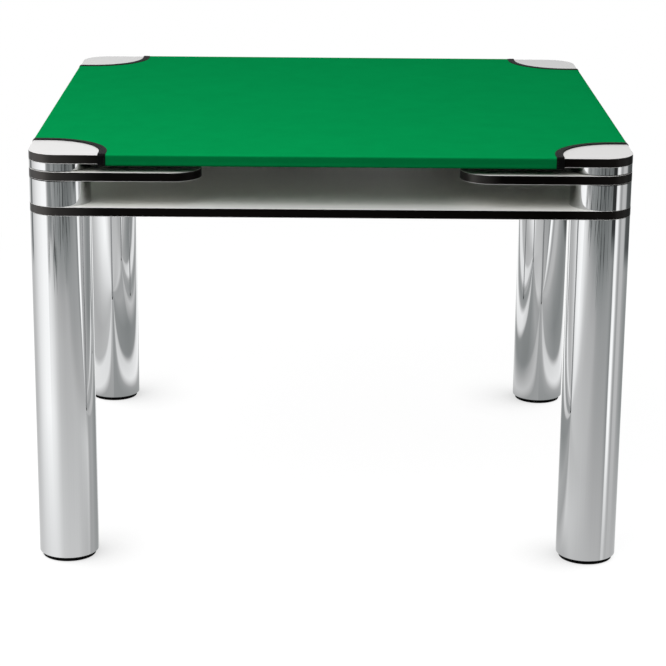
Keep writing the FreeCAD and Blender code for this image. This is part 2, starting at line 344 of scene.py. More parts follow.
def baize(tree, finish):
    nap = effect(tree, "fibre_nap", Fibre_Size=0.0011, Cloud_Size=0.045, Contrast=0.16)
    # painted shade: the colour darkens as the surface turns away from facing up, so the sides are darker than the
    # top
    painted_side_shade = axes(add(tree, "NewGeometry", output="Normal"))["Z"].remap(0.1, 0.9, 0.58, 1.0)
    return {
        "Base Color": tint(finish.baize, nap["Shade"] * painted_side_shade), "Roughness": 0.95, SPECULAR: 0.0,
        "Sheen Weight": 0.012, "Sheen Roughness": 0.4, "Sheen Tint": (0.1, 0.8, 0.35, 1.0),
        "Normal": bumped(nap["Height"], 0.00035, 0.6)}


def laminate(tree, finish):
    where = place(tree)
    marks = marks_mask(tree, 0.09, 0.5)
    wear = wear_mask(tree, 0.0005, 0.012, 0.4)
    cloudy = noise_value(where, 9.0, 3.0).remap(0.3, 0.7, 0.99, 1.008)
    # painted shade: where the faces are closed in, as deep in the shelf, their colour turns to a yellow-green grey,
    # and in the narrow slots over the trays their colour and reflection are darkened almost to black
    open_air = add(tree, "AmbientOcclusion", {"Distance": 0.12}, "AO", samples=12)
    shade_tinted = mix_colours(open_air.remap(0.3, 0.6, 1.0, 0.0), (*finish.laminate, 1), (*finish.shade_tinted_laminate, 1))
    slot = open_air.eased(0.03, 0.11, 0.03, 1.0)
    return {
        "Base Color": mix_colours(wear * 0.2, tint(shade_tinted, cloudy * slot), (0.6, 0.59, 0.57, 1)),
        "Roughness": marks.remap(0.0, 1.0, 0.22, 0.3), SPECULAR: slot * 0.25,
        "Normal": bumped(noise_value(where, 900.0, 2.0, 0.5), 0.00002, 0.5)}


def core(tree, finish):
    """The solid core is pressed from many thin black sheets, whose edges show as faint level lines."""
    where = place(tree)
    sheets = noise_value(stretched(where, (5.0, 5.0, 2600.0)), 1.0, 2.0, 0.6)
    fleck = noise_value(where, 700.0, 3.0, 0.6)
    marks = marks_mask(tree, 0.05, 0.8)
    wear = wear_mask(tree, 0.0007, 0.008, 0.7)
    lines = fleck.calc("MULTIPLY_ADD", 0.4, sheets).remap(0.5, 0.95, 0.7, 1.35)
    # hands have polished the round corners, which reflect more; the extra on the left ones, and on one tray's end,
    # is a painted highlight
    spot = axes(where)
    corner = abs(spot["X"]).least(abs(spot["Y"])).eased(0.36, 0.46, 0.1, 1.0)
    corner = corner * spot["X"].remap(-0.4, 0.4, 0.6, 0.14)
    tray_end_highlight = abs(spot["X"] - TRAY_END_X).eased(0.055, 0.02, 0.0, TRAY_END_HIGHLIGHT)
    tray_end_highlight = tray_end_highlight * spot["Z"].remap(0.62, 0.64)
    return {
        "Base Color": mix_colours(wear * 0.3, tint(finish.core, lines), (0.04, 0.034, 0.031, 1)),
        "Roughness": marks.remap(0.0, 1.0, 0.34, 0.46), SPECULAR: corner.most(tray_end_highlight),
        "Specular Tint": (1.0, 0.94, 0.9, 1.0), "Normal": bumped(sheets, 0.00004, 0.5)}


def leather(tree, finish):
    grain = effect(tree, "pebble_grain", Grain_Size=0.0011, Unevenness=0.6)
    wear = wear_mask(tree, 0.0007, 0.006, 0.6)
    cloudy = noise_value(place(tree), 60.0, 3.0).remap(0.3, 0.7, 0.85, 1.2)
    creased = mix_colours(grain["Crease"] * 0.5, tint(finish.leather, cloudy), (0.002, 0.002, 0.002, 1))
    return {
        "Base Color": mix_colours(wear * 0.25, creased, (0.03, 0.029, 0.028, 1)),
        "Roughness": grain["Crease"].remap(0.0, 1.0, 0.4, 0.62), SPECULAR: 0.04,
        "Normal": bumped(grain["Height"], 0.00012, 0.7)}


def thread(rgb, tree, finish):
    nap = effect(tree, "fibre_nap", Fibre_Size=0.0003, Cloud_Size=0.01, Contrast=0.5)
    return {
        "Base Color": tint(rgb, nap["Shade"]), "Roughness": 0.6, SPECULAR: 0.3,
        "Normal": bumped(nap["Height"], 0.0001, 0.7)}


def chrome(tree, finish):
    lines = effect(tree, "drawn_lines", Spacing=0.0009, Run=0.3)["Height"]
    # the tube's wall is a little uneven
    tube = bumped(noise_value(stretched(place(tree), (16.0, 16.0, 7.0)), 1.0, 1.0, 0.4), 0.0006)
    return {
        "Base Color": tint(finish.chrome, lines.remap(0.3, 0.7, 0.985, 1.01)), "Metallic": 1.0,
        "Roughness": marks_mask(tree, 0.07, 0.7).remap(0.0, 1.0, 0.02, 0.06),
        "Normal": bumped(lines, 0.00001, 0.2, Normal=tube)}


def steel(tree, finish):
    spangle = noise_value(place(tree), 300.0, 3.0).remap(0.3, 0.7, 0.85, 1.1)
    return {
        "Base Color": tint(finish.steel, spangle), "Metallic": 0.9,
        "Roughness": marks_mask(tree, 0.015, 1.0).remap(0.0, 1.0, 0.28, 0.5),
        "Normal": bumped(effect(tree, "drawn_lines", Spacing=0.0004, Run=0.02)["Height"], 0.00003, 0.4)}


def nylon(tree, finish):
    grain = effect(tree, "pebble_grain", Grain_Size=0.0006, Unevenness=0.8)
    marks = marks_mask(tree, 0.02, 1.0)
    wear = wear_mask(tree, 0.0009, 0.006, 0.8)
    dusty = mix_colours(marks * 0.1, (*finish.nylon, 1), (0.02, 0.019, 0.018, 1))
    return {
        "Base Color": mix_colours(wear * 0.2, dusty, (0.02, 0.02, 0.019, 1)),
        "Roughness": marks.remap(0.0, 1.0, 0.42, 0.65), SPECULAR: 0.03,
        "Normal": bumped(grain["Height"], 0.00006, 0.5)}


def elastic(tree, finish):
    """Flat woven elastic: fine ribs with a soft nap."""
    ribs = noise_value(place(tree), 1100.0, 1.0, 0.5)
    nap = effect(tree, "fibre_nap", Fibre_Size=0.0005, Cloud_Size=0.01, Contrast=0.3)
    return {
        "Base Color": tint(finish.elastic, nap["Shade"]), "Roughness": 0.85, SPECULAR: 0.2,
        "Normal": bumped(ribs + nap["Height"], 0.0002, 0.6)}


MATERIALS = {
    "green_baize": ("green_baize_cloth", baize),
    "white_laminate": ("white_laminate_face", laminate),
    "board_core": ("black_board_core", core),
    "black_binding": ("black_corner_leather", leather),
    "chrome": ("polished_chrome", chrome),
    "bare_steel": ("zinc_plated_steel", steel),
    "black_nylon": ("black_moulded_nylon", nylon),
    "elastic": ("woven_elastic", elastic),
    "thread": ("sewing_thread", partial(thread, (0.02, 0.02, 0.021))),
    "hem_thread": ("green_hem_thread", partial(thread, (0.01, 0.22, 0.09))),
}


def surfaced(holder, output, surface_for):
    """Gives a new material or world a tree of its own, with the surface that a function builds in it."""
    holder.use_nodes = True
    tree = holder.node_tree
    tree.nodes.clear()
    feed(tree, tree.nodes.new(output).inputs["Surface"], surface_for(tree))
    return holder


def new_material(name, surface_for):
    return surfaced(bpy.data.materials.new(name), "ShaderNodeOutputMaterial", surface_for)


def material_for(slot):
    name, inputs_for = MATERIALS[slot]
    finish = bpy.context.scene.table_finishes
    return bpy.data.materials.get(name) or new_material(
        name, lambda tree: add(tree, "BsdfPrincipled", inputs_for(tree, finish)))


def refinish(names, parts=("",)):
    """Gives kept CAD nodes the full finish that goes with their material slot."""
    for name in names:
        for part in parts:
            for slot in NODES[name + part].material_slots:
                slot.material = material_for(slot.material.name)


# ---- Mesh helpers ----

def link(piece):
    bpy.context.scene.collection.objects.link(piece)
    return piece


def new_piece(mesh, finish):
    """An object with the mesh and its finish. It rides on the table and stands for a CAD slot."""
    mesh.materials.append(material_for(finish))
    piece = link(bpy.data.objects.new(mesh.name, mesh))
    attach(piece, "table")
    return piece


def plain_mesh(name, points, faces):
    mesh = bpy.data.meshes.new(name)
    mesh.from_pydata([tuple(p) for p in points], [], faces)
    return mesh


def mesh_from(name, points, faces):
    """A mesh with outward normals that is smooth except across sharp folds."""
    mesh = plain_mesh(name, points, faces)
    work = bmesh.new()
    work.from_mesh(mesh)
    bmesh.ops.remove_doubles(work, verts=work.verts, dist=1e-7)
    bmesh.ops.recalc_face_normals(work, faces=work.faces)
    work.to_mesh(mesh)
    work.free()
    mesh.shade_smooth()
    mesh.set_sharp_from_angle(angle=SHARP_FOLD)
    return mesh


def solidified(mesh, name, thickness):
    """The sheet with a second face behind it, so that it is as thick as the cloth."""
    holder = link(bpy.data.objects.new(name, mesh))
    thick = holder.modifiers.new("thickness", "SOLIDIFY")
    thick.thickness = thickness
    thick.offset = -1.0
    thick.use_even_offset = True
    graph = bpy.context.evaluated_depsgraph_get()
    result = bpy.data.meshes.new_from_object(holder.evaluated_get(graph))
    result.name = name
    bpy.data.objects.remove(holder)
    return result


def bridged(first, second, closed=True):
    """Quads between two rows of point numbers, which are rings where they are closed."""
    return zip(first, second, second[1:] + second[:closed], first[1:] + first[:closed])


def add_tube(points, faces, rings):
    """Adds a tube through rings of points, with a face over each end."""
    numbers = []
    for ring in rings:
        numbers.append([len(points) + index for index in range(len(ring))])
        points.extend(ring)
    for first, second in zip(numbers, numbers[1:]):
        faces.extend(bridged(first, second))
    faces.extend((numbers[0], numbers[-1][::-1]))


def arc_points(centre_u, centre_v, radius, start, end, steps):
    found = []
    for step in range(steps + 1):
        turn = math.radians(start + (end - start) * step / steps)
        found.append((centre_u + radius * math.cos(turn), centre_v + radius * math.sin(turn)))
    return found


def circle(radius, sides):
    return arc_points(0, 0, radius, 0, 360, sides)[:-1]


def run_points(start, end, steps):
    return [tuple(a + (b - a) * step / steps for a, b in zip(start, end)) for step in range(1, steps + 1)]


def quarter_turns(size):
    return [Matrix.Rotation(math.radians(90 * quarter), size, "Z") for quarter in range(4)]


def smooth_step(value):
    value = max(0.0, min(1.0, value))
    return value * value * (3 - 2 * value)


def ripple(x, y, z, size, seed):
    """Smooth repeatable unevenness, from zero to one."""
    return 0.5 + 0.5 * max(-1.0, min(1.0, noise.noise(Vector((x, y, z)) / size + Vector((seed, 0, 0)))))


# Sizes and seeds of the ripples.
HOLLOWS = (0.13, 3)
GATHERS = (0.009, 7)
SIDE_WAVES = (0.045, 11)
HEM_WAVES = (0.07, 17)
PUCKERS = (0.006, 5)

# Steps of the cover's profile: round each edge, down the side, under the board, round the fold and back.
EDGE_STEPS = 6
SIDE_STEPS = 5
HEM_STEPS = 6
FOLD_STEPS = 8
SIDE_END = 2 * EDGE_STEPS + SIDE_STEPS
# Rings of mesh points round each opening, in mm out from the binding.
RINGS = (-0.5, 0.6, 1.6, 3.0, 5.0, 8.0, 12.0, 17.0)
HEM_STITCH_PITCH = 5 * MM
HEM_STITCH_LENGTH = 3.2 * MM
HEM_SEAM_INSET = 4 * MM


# ---- Cloth cover ----

class OpeningLine:
    """The outline of a corner opening, grown by a distance, from one side of the table to the other."""

    def __init__(self, sizes):
        self.radius = sizes.cutout_radius
        self.straight = sizes.cutout_size - sizes.cutout_radius

    def points(self, grow, edge, steps=30, straight_steps=3):
        """Distances in from the two board sides that meet at the corner."""
        across = self.straight + self.radius + grow
        first = [(across, edge)] + run_points((across, edge), (across, self.straight), straight_steps)
        turn = arc_points(self.straight, self.straight, self.radius + grow, 0, 90, steps)[1:]
        last = run_points((self.straight, across), (edge, across), straight_steps)
        return first + turn + last

    def distance(self, x, y):
        """How far a place on the table is outside the nearest opening."""
        u = max(BOARD_HALF - abs(x) - self.straight, 0.0)
        v = max(BOARD_HALF - abs(y) - self.straight, 0.0)
        return math.hypot(u, v) - self.radius


def hem_profile(sizes):
    """The cloth's outer face from the top's rim, down the side, under the board and back into the hem.

    Each point is a distance out from the board's side and a height.
    """
    radius = sizes.edge_rounding
    centre_out = CLOTH_OUT - radius
    fold_radius = (BOARD_BOTTOM - CLOTH_ROOM - CLOTH_BOTTOM) / 2
    fold_out = fold_radius - sizes.hem_width
    points = arc_points(centre_out, CLOTH_TOP - radius, radius, 90, 0, EDGE_STEPS)
    points += run_points(points[-1], (CLOTH_OUT, CLOTH_BOTTOM + radius), SIDE_STEPS)
    points += arc_points(centre_out, CLOTH_BOTTOM + radius, radius, 0, -90, EDGE_STEPS)[1:]
    points += run_points(points[-1], (fold_out, CLOTH_BOTTOM), HEM_STEPS)
    points += arc_points(fold_out, CLOTH_BOTTOM + fold_radius, fold_radius, -90, -270, FOLD_STEPS)[1:]
    points += run_points(points[-1], (fold_out + sizes.hem_overlap, points[-1][1]), SIDE_STEPS)
    return points


def cloth_surface(sizes, binding):
    """Points and faces of the cover's outer face, its flat size and the area of the cut cloth."""
    opening = OpeningLine(sizes)
    cut = binding.turn + 0.1 * MM
    rim = BOARD_HALF + CLOTH_OUT - sizes.edge_rounding
    span = BOARD_HALF - sizes.cutout_size - cut
    side_steps = 2 * round(span / (0.6 * sizes.mesh_step))
    alongs = [-span + 2 * span * step / side_steps for step in range(side_steps + 1)]

    def height(x, y):
        apart = opening.distance(x, y) - binding.width
        pressed = 0.3 * MM * (1 - smooth_step(apart / (1.2 * MM)))
        calm = smooth_step((rim - max(abs(x), abs(y))) / (12 * MM)) * smooth_step(apart / (10 * MM))
        hollow = sizes.slack * calm * ripple(x, y, 0, *HOLLOWS)
        gather = 0.10 * MM * smooth_step(apart / (1.5 * MM)) * (1 - smooth_step(apart / (14 * MM)))
        return CLOTH_TOP - pressed - hollow - gather * ripple(x, y, 0, *GATHERS)

    def from_corner(turn, across, down):
        return turn @ Vector((BOARD_HALF - across, -(BOARD_HALF - down)))

    # outline, anticlockwise from the front left opening's end on the front side
    outline = []
    side_starts = []
    for turn in quarter_turns(2):
        side_starts.append(len(outline))
        outline.extend(turn @ Vector((along, -rim)) for along in alongs)
        outline.extend(from_corner(turn, *at) for at in opening.points(cut, BOARD_HALF - rim)[1:-1])

    inside = []
    for grow in RINGS:
        ring = opening.points(binding.width + grow * MM, BOARD_HALF - rim, 46)[1:-1]
        for turn in quarter_turns(2):
            inside.extend(from_corner(turn, *at) for at in ring if min(at) > 6 * MM)
    count = int(2 * rim / sizes.mesh_step)
    grid = [-rim + 2 * rim * step / count for step in range(1, count)]
    inside.extend(Vector((x, y)) for x in grid for y in grid if opening.distance(x, y) > binding.width + 24 * MM)
    loop = [(i, (i + 1) % len(outline)) for i in range(len(outline))]
    flat, _, triangles, origins, _, _ = delaunay_2d_cdt(outline + inside, loop, [], 1, 1e-6)
    points = [Vector((*p, height(*p))) for p in flat]
    where = {source: index for index, sources in enumerate(origins) for source in sources}
    faces = [tuple(face) for face in triangles]

    profile = hem_profile(sizes)
    for turn, start in zip(quarter_turns(3), side_starts):
        upper = [where[start + step] for step in range(side_steps + 1)]
        for number, (out, level) in enumerate(profile[1:], 1):
            lower = []
            for along in alongs:
                at = turn @ Vector((along, -(BOARD_HALF + out), level))
                if number <= SIDE_END:
                    # the side sways a little, and the full hem pushes it out at its foot
                    ends = smooth_step((span - abs(along)) / (25 * MM))
                    hang = smooth_step((CLOTH_TOP - level) / (CLOTH_TOP - CLOTH_BOTTOM))
                    inward = 0.22 * MM * ends * ripple(*at.xy, level, *SIDE_WAVES) * (0.3 + 0.7 * hang)
                    flare = sizes.hem_flare * ends * smooth_step((6.2 * MM - level + CLOTH_BOTTOM) / (3.4 * MM))
                    flare *= smooth_step((out + 3 * MM) / (3 * MM))
                    at = turn @ Vector((along, -(BOARD_HALF + out - inward + flare), level))
                    at.z += 0.25 * MM * ends * hang * ripple(*at.xy, 0, *HEM_WAVES)
                lower.append(len(points))
                points.append(at)
            faces.extend(bridged(upper, lower, closed=False))
            upper = lower

    drop = sum((Vector(b) - Vector(a)).length for a, b in zip(profile, profile[1:]))
    top_area = abs(sum(a.x * b.y - b.x * a.y for a, b in zip(outline, outline[1:] + outline[:1]))) / 2
    return points, faces, 2 * (rim + drop), top_area + 4 * 2 * span * drop


# ---- Corner bindings ----

def binding_line(sizes, side_x, side_y):
    """Places along the opening on the cloth's outer face: point, outward normal, way off the opening, fold depth."""
    radius = sizes.edge_rounding
    across = sizes.cutout_size
    straight = sizes.cutout_size - sizes.cutout_radius
    start = radius - CLOTH_OUT
    thin = CLOTH_OUT - CLOTH_ROOM
    deep = BOARD_BOTTOM - CLOTH_ROOM - CLOTH_BOTTOM
    half = []

    def bend(first, last, centre):
        for out, level in arc_points(0, 0, 1, first, last, 6):
            half.append(((across, start - radius * out, centre + radius * level), (0, -out, level), thin))

    for step in range(8):
        share = step / 8
        down = (sizes.hem_width - 1.0 * MM) * (1 - share) + start * share
        half.append(((across, down, CLOTH_BOTTOM), (0, 0, -1), deep))
    bend(-90, 0, CLOTH_BOTTOM + radius)
    for step in range(1, 5):
        level = CLOTH_BOTTOM + radius + (CLOTH_TOP - CLOTH_BOTTOM - 2 * radius) * step / 5
        half.append(((across, -CLOTH_OUT, level), (0, -1, 0), thin))
    bend(0, 90, CLOTH_TOP - radius)
    for step in range(1, 7):
        half.append(((across, start + (straight - start) * step / 7, CLOTH_TOP), (0, 0, 1), thin))

    line = [(Vector(at), Vector(normal), Vector((1, 0, 0)), depth) for at, normal, depth in half]
    for u, v in arc_points(0, 0, 1, 0, 90, 54):
        at = Vector((straight + sizes.cutout_radius * u, straight + sizes.cutout_radius * v, CLOTH_TOP))
        line.append((at, Vector((0, 0, 1)), Vector((u, v, 0)), thin))
    swap = Matrix(((0, 1, 0), (1, 0, 0), (0, 0, 1)))
    for at, normal, depth in reversed(half):
        line.append((swap @ Vector(at), swap @ Vector(normal), Vector((0, 1, 0)), depth))

    return [(
        Vector((side_x * (BOARD_HALF - at.x), side_y * (BOARD_HALF - at.y), at.z)),
        Vector((-side_x * normal.x, -side_y * normal.y, normal.z)),
        Vector((-side_x * away.x, -side_y * away.y, 0)),
        depth) for at, normal, away, depth in line]


def binding_section(binding, depth, lift):
    """The folded strip cut across: distances off the opening and heights above the cloth."""
    turn, wide, inset, rise, deep, lift = (
        size / MM for size in (binding.turn, binding.width, binding.stitch_inset, BINDING_RISE, depth, lift))
    seam = wide - inset
    section = (
        (0.55, -deep), (0.16, 0.16 - deep), (0.0, 0.5 - deep), (0.02, -0.1), (0.2, 0.3), (0.6, rise - 0.22),
        (1.3, rise - 0.07), (2.4, rise + lift), (4.2, rise + lift), (6.2, rise - 0.04 + lift), (8.2, rise - 0.12),
        (seam - 1.3, rise - 0.2), (seam - 0.5, rise - 0.36), (seam, rise - 0.42), (seam + 0.5, rise - 0.36),
        (seam + 1.2, rise - 0.3), (wide - 0.5, rise - 0.4), (wide - 0.12, rise - 0.62), (wide, -0.05),
        (wide - 0.15, -0.26), (turn + 0.2, -0.26), (turn, -0.4), (turn - 0.1, -deep))
    return [(off * MM, above * MM) for off, above in section]


def line_lengths(line, away):
    total = [0.0]
    for (a, _, first_off, _), (b, _, second_off, _) in zip(line, line[1:]):
        total.append(total[-1] + ((b + second_off * away) - (a + first_off * away)).length)
    return total


def binding_mesh(name, line, binding):
    points, faces, rings = [], [], []
    for (at, normal, away, depth), along in zip(line, line_lengths(line, 0.0)):
        lift = -binding.pucker * ripple(along, 0, 0, *PUCKERS) if normal.z > 0.9 else 0.0
        section = binding_section(binding, depth, lift)
        rings.append([at + away * off + normal * above for off, above in section])
    add_tube(points, faces, rings)
    return mesh_from(name, points, faces)


# A stitch's rings: place along it, share of the thread's thickness and height in thicknesses.
STITCH_RINGS = (
    (-0.5, 0.35, -0.5), (-0.38, 0.8, -0.05), (-0.15, 1.0, 0.2), (0.15, 1.0, 0.2), (0.38, 0.8, -0.05),
    (0.5, 0.35, -0.5))
STITCH_SIDES = 8


def stitches_mesh(name, spots, stitch_length, thickness):
    """Stitches as one mesh: short threads that rise from the seam and go back into it.

    Each spot is a middle, the way ahead and the normal.
    """
    points, faces = [], []
    for middle, ahead, normal in spots:
        side = ahead.cross(normal).normalized()
        rings = []
        for share, size, lift in STITCH_RINGS:
            centre = middle + ahead * (share * stitch_length) + normal * (lift * thickness)
            rings.append([centre + side * u + normal * v for u, v in circle(thickness / 2 * size, STITCH_SIDES)])
        add_tube(points, faces, rings)
    return mesh_from(name, points, faces)


def seam_spots(line, binding):
    """Where the binding's stitches lie: along the seam, but not on the tight bends over the board's edge."""
    off = binding.width - binding.stitch_inset
    lengths = line_lengths(line, off)
    spots = []
    count = int(lengths[-1] / binding.stitch_pitch)
    for number in range(count):
        along = (number + 0.5) * lengths[-1] / count
        index = min(sum(value <= along for value in lengths), len(line) - 1) - 1
        share = (along - lengths[index]) / max(lengths[index + 1] - lengths[index], 1e-9)
        first, second = line[index], line[index + 1]
        if first[1].dot(second[1]) < 0.999:
            continue
        normal = first[1].lerp(second[1], share).normalized()
        start = first[0] + first[2] * off
        end = second[0] + second[2] * off
        middle = start.lerp(end, share) + normal * (BINDING_RISE - 0.34 * MM)
        spots.append((middle, (end - start).normalized(), normal))
    return spots


# ---- Operators ----

class TABLE_OT_cover(bpy.types.Operator):
    """Sew the baize cover with its elastic hem and stretch it over the top board"""

    bl_idname = "table.cover"
    bl_label = "Baize cover"

    def execute(self, context):
        sizes = context.scene.table_cover
        binding = context.scene.table_binding
        points, faces, flat, area = cloth_surface(sizes, binding)
        mesh = plain_mesh("cover_outer_face", points, faces)
        mesh.update()
        mesh.shade_smooth()
        thick = solidified(mesh, "baize_cover", sizes.cloth_thickness)
        thick.shade_smooth()
        thick.set_sharp_from_angle(angle=SHARP_FOLD)
        cover = new_piece(thick, "green_baize")
        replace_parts(cover, "cloth_cover")

        spots = []
        run = BOARD_HALF - sizes.cutout_size - binding.width - 4 * MM
        seam_in = BOARD_HALF - sizes.hem_width + HEM_SEAM_INSET
        for turn in quarter_turns(3):
            for number in range(int(2 * run / HEM_STITCH_PITCH)):
                at = Vector((-run + HEM_STITCH_PITCH * (number + 0.5), -seam_in, CLOTH_BOTTOM))
                spots.append((turn @ at, turn @ Vector((1, 0, 0)), Vector((0, 0, -1))))
        stitches = stitches_mesh("hem_stitches", spots, HEM_STITCH_LENGTH, binding.thread)
        seam = new_piece(stitches, "hem_thread")
        refinish(("hem_elastic",))
        return {"FINISHED"}


class TABLE_OT_bindings(bpy.types.Operator):
    """Fold and stitch a leather binding round each corner opening of the cover"""

    bl_idname = "table.bindings"
    bl_label = "Corner bindings"

    def execute(self, context):
        binding = context.scene.table_binding
        for corner, sides in CORNERS.items():
            line = binding_line(context.scene.table_cover, *sides)
            strip = binding_mesh(corner + "_leather_binding", line, binding)
            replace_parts(new_piece(strip, "black_binding"), corner + "_corner_binding")
            stitches = stitches_mesh(
                corner + "_binding_stitches", seam_spots(line, binding), binding.stitch_length, binding.thread)
            new_piece(stitches, "thread")
        return {"FINISHED"}


class TABLE_OT_boards(bpy.types.Operator):
    """Finish the top board and the shelf: white laminate faces on a black core"""

    bl_idname = "table.boards"
    bl_label = "Boards"

    def execute(self, context):
        refinish(("top", "shelf"), ("_face", "_core", "_underside_face"))
        return {"FINISHED"}


class TABLE_OT_trays(bpy.types.Operator):
    """Finish the four swivel trays and the bushes that they turn on"""

    bl_idname = "table.trays"
    bl_label = "Swivel trays"

    def execute(self, context):
        refinish(CORNERS, ("_tray_face", "_tray_core", "_tray_underside_face", "_tray_bush"))
        return {"FINISHED"}


class TABLE_OT_legs(bpy.types.Operator):
    """Plate the leg tubes and the spacers above them with chrome, and finish the moulded feet"""

    bl_idname = "table.legs"
    bl_label = "Legs"

    def execute(self, context):
        refinish(CORNERS, ("_leg_tube", "_lower_spacer", "_upper_spacer", "_foot"))
        return {"FINISHED"}


class TABLE_OT_fixings(bpy.types.Operator):
    """Finish the studs, flanges, screws, sleeves and washers inside each leg's stack"""

    bl_idname = "table.fixings"
    bl_label = "Fixings"

    def execute(self, context):
        refinish(CORNERS, ("_leg_head", "_pivot_sleeve"))
        refinish((
            "tie_studs", "top_flanges", "flange_screws", "thrust_washers", "leg_base_plates", "foot_screws"))
        return {"FINISHED"}


# ---- Studio ----

# What the polished legs mirror, by direction in degrees to the right of the front: the brightness round the
# left legs, and that round the right legs, where a narrow bright gap stands between two dark flats.
ROUND_LEFT_LEGS = [
    (-180, 0.6), (-176, 1.35), (-166, 1.35), (-162, 0.8), (-142, 0.72), (-127, 0.84), (-117, 0.98), (-107, 1.14),
    (-97, 1.32), (-87, 1.46), (-67, 1.66), (-50, 1.7), (-43, 1.7), (-33, 1.52), (-23, 1.25), (-13, 1.06), (5, 0.97),
    (60, 0.94), (78, 1.05), (86, 1.1), (93, 1.22), (97, 0.95), (102, 0.66), (118, 0.7), (128, 0.56), (143, 0.42),
    (160, 0.45), (164, 1.3), (172, 1.45), (176, 0.6), (180, 0.5),
]
ROUND_RIGHT_LEGS = [
    (-180, 0.6), (-176, 1.3), (-166, 1.45), (-162, 0.62), (-130, 0.58), (-100, 0.78), (-75, 1.1), (-45, 0.9),
    (-8, 0.79), (12, 0.72), (42, 0.69), (49, 0.58), (53, 0.46), (56, 0.5), (58, 1.75), (65, 1.96), (69, 1.6),
    (74, 0.8), (80, 0.56), (87, 0.84), (100, 0.84), (110, 0.6), (127, 0.45), (142, 0.4), (160, 0.48), (164, 1.25),
    (172, 1.35), (176, 0.62), (180, 0.5),
]
# Each side's legs: side, brightness round them, direction that they are seen from, the pale floor by the foot
# (brightness, least share, share under the table, where that starts), half width of the dark bay, and the dark
# post's direction and depth.
LEG_SIDES = (
    (-1, ROUND_LEFT_LEGS, 7.0, (1.0, 0.45, 0.6, 45.0), 7.0, -38.0, 0.45),
    (1, ROUND_RIGHT_LEGS, -7.0, (0.78, 0.22, 0.78, 68.0), 22.0, 49.0, 0.85),
)
# How the brightness falls with distance in front of the table's middle, in metres.
AHEAD = [(0.5, 1.0), (1.0, 0.92), (1.5, 0.83), (1.8, 0.79), (2.1, 0.70), (2.5, 0.52), (2.75, 0.43), (4.0, 0.36)]
BRIGHTEST = 2.0
HIGH_UP = 0.62
WHITE = (1, 1, 1, 1)
# Soft light from the left, the right and behind: axis, where it starts, where it is full, and strength.
SIDE_LIGHTS = (("X", -0.65, -0.95, 0.6), ("X", 0.65, 0.95, 0.15), ("Y", 0.3, 0.9, 0.4))
LEG_RADIUS = 0.05
LEG_FROM_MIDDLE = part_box("front_right_leg_tube")[1].x - LEG_RADIUS
FLOOR_HALF = 30.0
SURROUND_RADIUS = 4.0
SURROUND_HEIGHT = 3.0
SURROUND_SIDES = 96
SOFTBOX_SIZE = 2.5
SOFTBOX_AT = Vector((-1.25, -2.05, 3.15))
SOFTBOX_AIM = Vector((0, 0, 0.7))
CAMERA_AT = Vector((-0.02265, -3.9822, 1.4245))


def stage_object(name, points, faces, material):
    mesh = plain_mesh(name, points, faces)
    mesh.materials.append(material)
    made = link(bpy.data.objects.new(name, mesh))
    return made


def square(name, half, level, material):
    corners = [(-half, -half, level), (half, -half, level), (half, half, level), (-half, half, level)]
    return stage_object(name, corners, [(0, 1, 2, 3)], material)


def only_for_gloss(card):
    """Polished surfaces mirror the card, which neither lights nor hides anything."""
    for ray in ("camera", "diffuse", "shadow", "transmission"):
        setattr(card, "visible_" + ray, False)


def glow(tree, strength, colour=WHITE, kind="Emission"):
    return add(tree, kind, {"Color": colour, "Strength": strength})


def floor_surface(tree):
    """Pale paper: white to the eye, with the object's soft shadow kept, and a weak bounce for the light."""
    path = add(tree, "LightPath").outputs
    seen = path["Is Camera Ray"].most(path["Is Transmission Ray"])
    where = place(tree)
    far = vector_calc(tree, "LENGTH", where, output="Value").eased(1.0, 2.0)
    paper, shaded = (add(tree, "BsdfDiffuse", {"Color": (grey, grey, grey, 1)}) for grey in (0.42, 0.11))
    # the shadow by each foot lies towards the middle
    leaning = vector_calc(tree, "NORMALIZE", joined(tree, axes(where)["X"].remap(-0.1, 0.1, -1.0, 1.0), 0.0, 0.8))
    open_air = add(tree, "AmbientOcclusion", {"Distance": 0.14, "Normal": leaning}, "AO", samples=8)
    near_look = add(tree, "AddShader", {0: shaded, 1: glow(tree, open_air.remap(0.35, 0.9, 0.70, 0.96))})
    look = add(tree, "MixShader", {0: far, 1: near_look, 2: glow(tree, 1.0)})
    return add(tree, "MixShader", {0: seen, 1: paper, 2: look})


def curve_of(value, low, high, points):
    """A brightness looked up from a list of places and brightnesses."""
    ramp = add(value.tree, "ValToRGB", {"Fac": value.remap(low, high)})
    stops = ramp.socket.node.color_ramp.elements
    for number, (at, strength) in enumerate(points):
        position = (at - low) / (high - low)
        stop = stops[number] if number < 2 else stops.new(position)
        stop.position = position
        stop.color = (strength / BRIGHTEST,) * 3 + (1,)
    return ramp * BRIGHTEST


